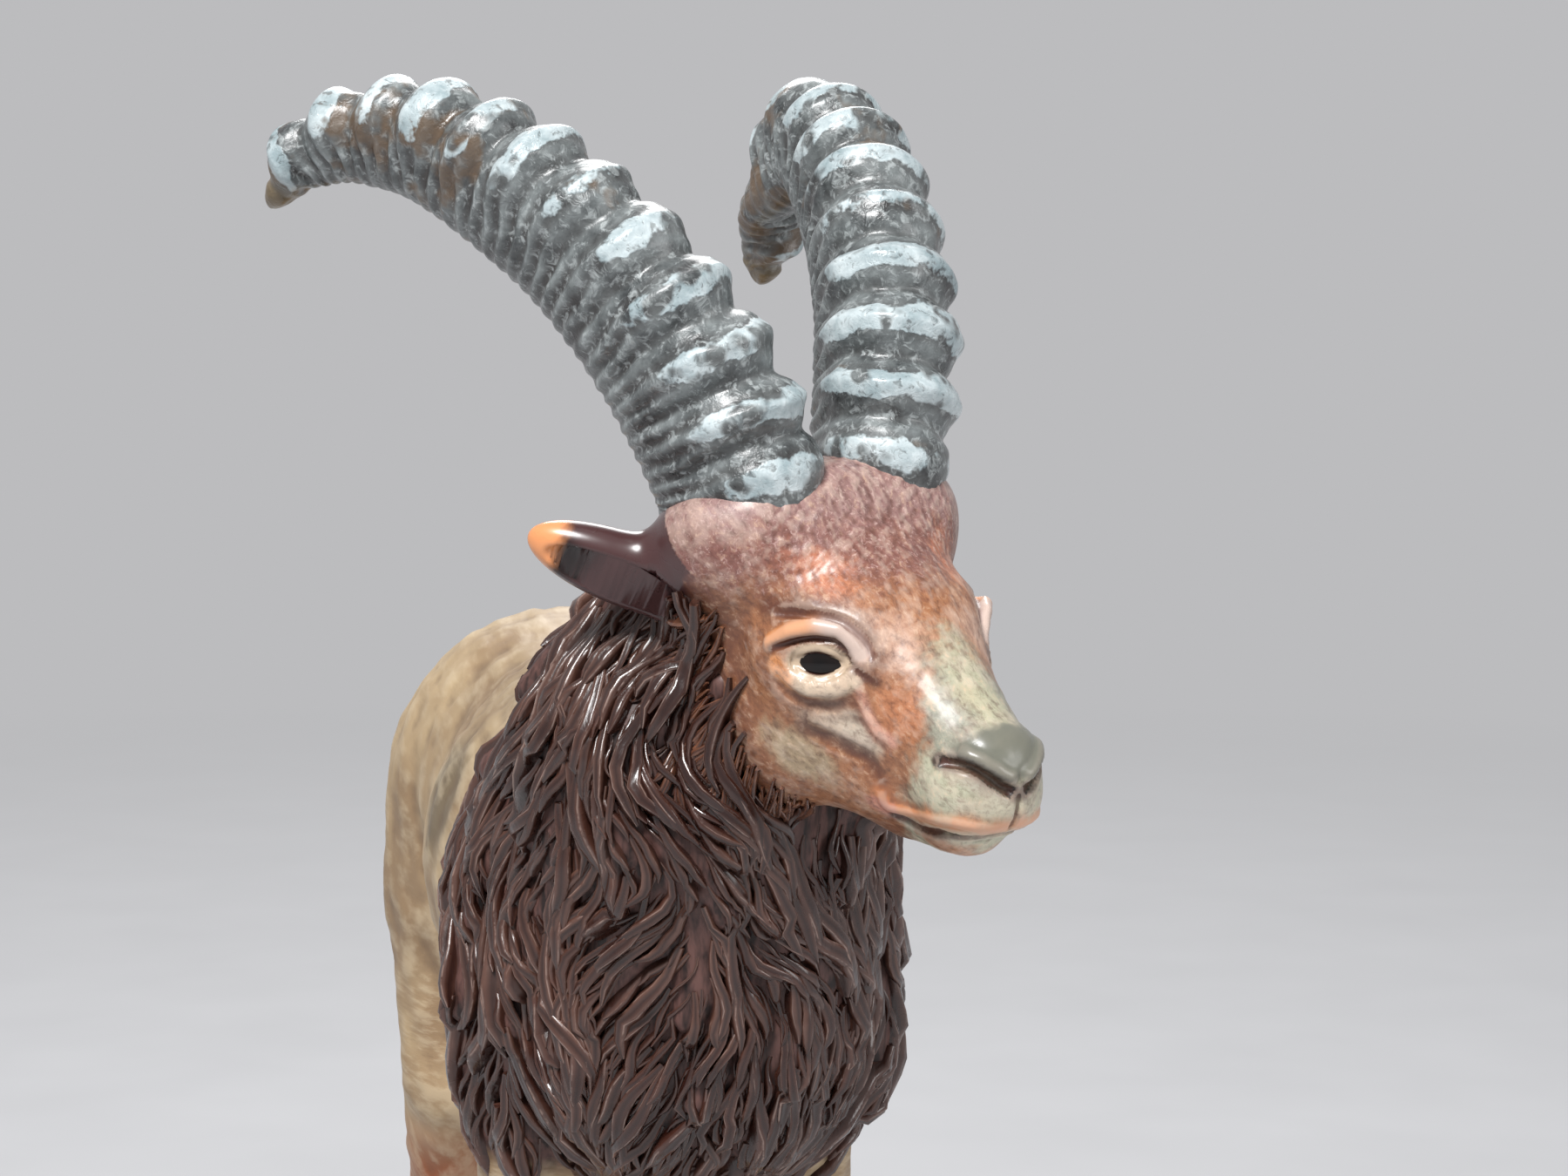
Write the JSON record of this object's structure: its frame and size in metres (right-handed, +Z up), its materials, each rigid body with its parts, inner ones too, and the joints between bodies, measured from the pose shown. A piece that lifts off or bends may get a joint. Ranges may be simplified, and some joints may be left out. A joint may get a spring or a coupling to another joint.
{
  "type": "goat figurine",
  "caption": "Standing ibex goat figurine moulded in one piece, with long ridged swept-back horns, a shaggy mane and its head turned to one side.",
  "frame": {"origin": "on the ground, under the centre of the bounding box", "axes": "+Z up, -Y the way the goat's chest faces, +X to the goat's left side"},
  "size_m": [0.0428, 0.0998, 0.1105],
  "materials": {
    "painted_vinyl": "hand-painted soft vinyl, semi-gloss"
  },
  "bodies": {
    "root": {"goat": "painted_vinyl"}
  },
  "joints": []
}
